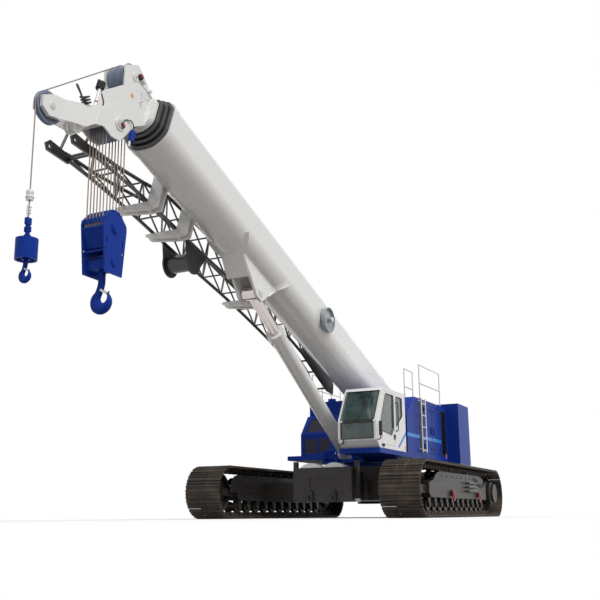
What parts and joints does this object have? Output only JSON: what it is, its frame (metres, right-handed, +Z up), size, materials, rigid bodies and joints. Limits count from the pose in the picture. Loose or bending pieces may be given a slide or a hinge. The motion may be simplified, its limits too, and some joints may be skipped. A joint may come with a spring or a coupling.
{
  "type": "telescopic crawler crane",
  "caption": "Crawler crane with a telescopic boom, stowed lattice jib, hook block and hook ball, slewing superstructure with cab, and steel crawler tracks.",
  "frame": {"origin": "on the ground under the slewing axis", "axes": "+X forward along the boom, +Y to the left, +Z up"},
  "size_m": [16.365, 5.734, 7.6484],
  "materials": {
    "black_frame": "semi-gloss black paint with road dust",
    "track_steel": "worn dark steel",
    "blue_paint": "gloss deep blue",
    "white_paint": "gloss white",
    "black_paint": "gloss black",
    "black_section": "satin black, greased",
    "grey_paint": "satin grey",
    "dark_mesh": "matt black mesh",
    "engine_iron": "matt",
    "winch_iron": "satin",
    "cab_glass": "green tinted",
    "seat_vinyl": "matt black vinyl",
    "dark_plastic": "matt",
    "bright_steel": "machined",
    "chrome_rod": "polished",
    "sheave_nylon": "satin grey-blue",
    "wire_rope": "greased wire rope"
  },
  "bodies": {
    "undercarriage": {"carbody": "black_frame", "carbody_weights": "black_frame", "arched_covers": "white_paint", "track_left": "track_steel", "track_right": "track_steel", "track_frame_left": "black_frame", "track_frame_right": "black_frame", "track_wheels_left": "black_frame", "track_wheels_right": "black_frame", "final_drive_left": "black_frame", "final_drive_right": "black_frame"},
    "superstructure": {"upper_frame": "blue_paint", "engine_housing": "blue_paint", "engine_grille": "dark_mesh", "engine_block": "engine_iron", "cooler_housing": "blue_paint", "cooler_mesh": "dark_mesh", "counterweight": "blue_paint", "cab_shell": "white_paint", "cab_glass": "cab_glass", "operator_seat": "seat_vinyl", "cab_console": "dark_plastic", "ladder": "white_paint", "handrails": "white_paint"},
    "main_winch": {"main_winch_drum": "winch_iron"},
    "aux_winch": {"aux_winch_drum": "winch_iron"},
    "engine_door_front": {"engine_door_front": "blue_paint"},
    "engine_door_rear": {"engine_door_rear": "blue_paint"},
    "cab_door": {"cab_door": "white_paint", "cab_door_glass": "cab_glass"},
    "boom_foot_pin": {"boom_foot_pin": "bright_steel"},
    "boom_base": {"boom_base": "white_paint", "stowed_jib": "black_paint", "jib_brackets": "white_paint"},
    "hose_reel": {"hose_reel": "grey_paint"},
    "boom_section_2": {"boom_section_2": "black_section"},
    "boom_section_3": {"boom_section_3": "black_section"},
    "boom_section_4": {"boom_section_4": "black_section"},
    "boom_head": {"boom_head": "white_paint"},
    "top_sheaves": {"top_sheaves": "sheave_nylon"},
    "main_head_sheaves": {"main_head_sheaves": "sheave_nylon"},
    "aux_sheave": {"aux_sheave": "sheave_nylon"},
    "main_sheave_axle": {"main_sheave_axle": "bright_steel"},
    "aux_sheave_axle": {"aux_sheave_axle": "bright_steel"},
    "main_falls": {"main_falls": "wire_rope"},
    "hook_block": {"hook_block": "blue_paint"},
    "block_sheaves": {"block_sheaves": "sheave_nylon"},
    "main_hook": {"main_hook": "blue_paint"},
    "aux_rope": {"aux_rope": "wire_rope", "rope_socket": "blue_paint"},
    "hook_ball": {"hook_ball": "blue_paint"},
    "aux_hook": {"aux_hook": "blue_paint"},
    "lift_foot_pin": {"lift_foot_pin": "bright_steel"},
    "lift_barrel": {"lift_barrel": "white_paint"},
    "lift_piston": {"lift_piston": "bright_steel"},
    "lift_rod": {"lift_rod": "chrome_rod"}
  },
  "joints": [
    {"name": "slew", "type": "hinge", "parent": "undercarriage", "child": "superstructure", "pos_m": [0, 0, 0], "axis": [0, 0, 1], "continuous": true},
    {"name": "boom_lower", "type": "hinge", "parent": "superstructure", "child": "boom_foot_pin", "pos_m": [-2.68, 0, 2.558], "axis": [0, -1, 0], "range_deg": [-19.8, 0]},
    {"name": "boom_raise", "type": "hinge", "parent": "boom_foot_pin", "child": "boom_base", "pos_m": [-2.68, 0, 2.558], "axis": [0, -1, 0], "range_deg": [0, 61.2]},
    {"name": "telescope_2", "type": "slide", "parent": "boom_base", "child": "boom_section_2", "axis": [0.9466, 0, 0.3223], "range_m": [0, 11.2]},
    {"name": "telescope_3", "type": "slide", "parent": "boom_section_2", "child": "boom_section_3", "axis": [0.9466, 0, 0.3223], "range_m": [0, 11.2]},
    {"name": "telescope_4", "type": "slide", "parent": "boom_section_3", "child": "boom_section_4", "axis": [0.9466, 0, 0.3223], "range_m": [0, 11.2]},
    {"name": "telescope_head", "type": "slide", "parent": "boom_section_4", "child": "boom_head", "axis": [0.9466, 0, 0.3223], "range_m": [0, 11.2]},
    {"name": "top_sheaves_turn", "type": "hinge", "parent": "boom_head", "child": "top_sheaves", "pos_m": [10.25808, 0, 7.37446], "axis": [0, 1, 0], "continuous": true},
    {"name": "main_axle_lower", "type": "hinge", "parent": "boom_head", "child": "main_sheave_axle", "pos_m": [10.62828, 0, 6.34906], "axis": [0, 1, 0], "range_deg": [-19.8, 0]},
    {"name": "main_falls_raise", "type": "hinge", "parent": "main_sheave_axle", "child": "main_falls", "pos_m": [10.62828, 0, 6.34906], "axis": [0, 1, 0], "range_deg": [0, 61.2]},
    {"name": "main_head_sheaves_turn", "type": "hinge", "parent": "main_sheave_axle", "child": "main_head_sheaves", "pos_m": [10.62828, 0, 6.34906], "axis": [0, 1, 0], "continuous": true},
    {"name": "hook_block_swing", "type": "hinge", "parent": "main_falls", "child": "hook_block", "pos_m": [10.62828, 0, 4.54], "axis": [0, 1, 0], "range_deg": [-20, 20]},
    {"name": "block_sheaves_turn", "type": "hinge", "parent": "hook_block", "child": "block_sheaves", "pos_m": [10.62828, 0, 4.54], "axis": [0, 1, 0], "continuous": true},
    {"name": "main_hook_swivel", "type": "hinge", "parent": "hook_block", "child": "main_hook", "pos_m": [10.62828, 0, 3.95], "axis": [0, 0, 1], "continuous": true},
    {"name": "aux_axle_lower", "type": "hinge", "parent": "boom_head", "child": "aux_sheave_axle", "pos_m": [12.05953, 0, 6.05459], "axis": [0, 1, 0], "range_deg": [-19.8, 0]},
    {"name": "aux_rope_raise", "type": "hinge", "parent": "aux_sheave_axle", "child": "aux_rope", "pos_m": [12.05953, 0, 6.05459], "axis": [0, 1, 0], "range_deg": [0, 61.2]},
    {"name": "aux_sheave_turn", "type": "hinge", "parent": "aux_sheave_axle", "child": "aux_sheave", "pos_m": [12.05953, 0, 6.05459], "axis": [0, 1, 0], "continuous": true},
    {"name": "hook_ball_swing", "type": "hinge", "parent": "aux_rope", "child": "hook_ball", "pos_m": [12.30502, 0, 4.085], "axis": [0, 1, 0], "range_deg": [-25, 25]},
    {"name": "aux_hook_swivel", "type": "hinge", "parent": "hook_ball", "child": "aux_hook", "pos_m": [12.30502, 0, 3.64], "axis": [0, 0, 1], "continuous": true},
    {"name": "lift_foot_lower", "type": "hinge", "parent": "superstructure", "child": "lift_foot_pin", "pos_m": [0.75, 0, 1.585], "axis": [0, -1, 0], "range_deg": [-30.56, 0]},
    {"name": "lift_barrel_raise", "type": "hinge", "parent": "lift_foot_pin", "child": "lift_barrel", "pos_m": [0.75, 0, 1.585], "axis": [0, -1, 0], "range_deg": [0, 65.82]},
    {"name": "lift_piston_retract", "type": "slide", "parent": "lift_barrel", "child": "lift_piston", "axis": [0.853, 0, 0.5219], "range_m": [-0.6534, 0]},
    {"name": "lift_rod_extend", "type": "slide", "parent": "lift_piston", "child": "lift_rod", "axis": [0.853, 0, 0.5219], "range_m": [0, 3.5803]},
    {"name": "main_winch_turn", "type": "hinge", "parent": "superstructure", "child": "main_winch", "pos_m": [-3.45, 0, 2.05], "axis": [0, 1, 0], "continuous": true},
    {"name": "aux_winch_turn", "type": "hinge", "parent": "superstructure", "child": "aux_winch", "pos_m": [-3.45, 0, 2.65], "axis": [0, 1, 0], "continuous": true},
    {"name": "hose_reel_turn", "type": "hinge", "parent": "boom_base", "child": "hose_reel", "pos_m": [2.98056, 0.5, 4.54839], "axis": [0, 1, 0], "continuous": true},
    {"name": "engine_door_front_hinge", "type": "hinge", "parent": "superstructure", "child": "engine_door_front", "pos_m": [-0.706, 1.6043, 2.27], "axis": [0, 0, -1], "range_deg": [0, 100]},
    {"name": "engine_door_rear_hinge", "type": "hinge", "parent": "superstructure", "child": "engine_door_rear", "pos_m": [-2.144, 1.6043, 2.27], "axis": [0, 0, 1], "range_deg": [0, 100]},
    {"name": "cab_door_hinge", "type": "hinge", "parent": "superstructure", "child": "cab_door", "pos_m": [1.506, 1.5903, 2.27], "axis": [0, 0, 1], "range_deg": [0, 95]}
  ],
  "couplings": [
    {"joint": "telescope_3", "follows": "telescope_2", "ratio": 1},
    {"joint": "telescope_4", "follows": "telescope_2", "ratio": 1},
    {"joint": "telescope_head", "follows": "telescope_2", "ratio": 1},
    {"joint": "main_axle_lower", "follows": "boom_lower", "ratio": 1},
    {"joint": "main_falls_raise", "follows": "boom_raise", "ratio": 1},
    {"joint": "aux_axle_lower", "follows": "boom_lower", "ratio": 1},
    {"joint": "aux_rope_raise", "follows": "boom_raise", "ratio": 1},
    {"joint": "lift_foot_lower", "follows": "boom_lower", "ratio": 1.5435},
    {"joint": "lift_barrel_raise", "follows": "boom_raise", "ratio": 1.0755},
    {"joint": "lift_piston_retract", "follows": "boom_lower", "m_per_rad": 1.8892},
    {"joint": "lift_rod_extend", "follows": "boom_raise", "m_per_rad": 3.3515}
  ]
}
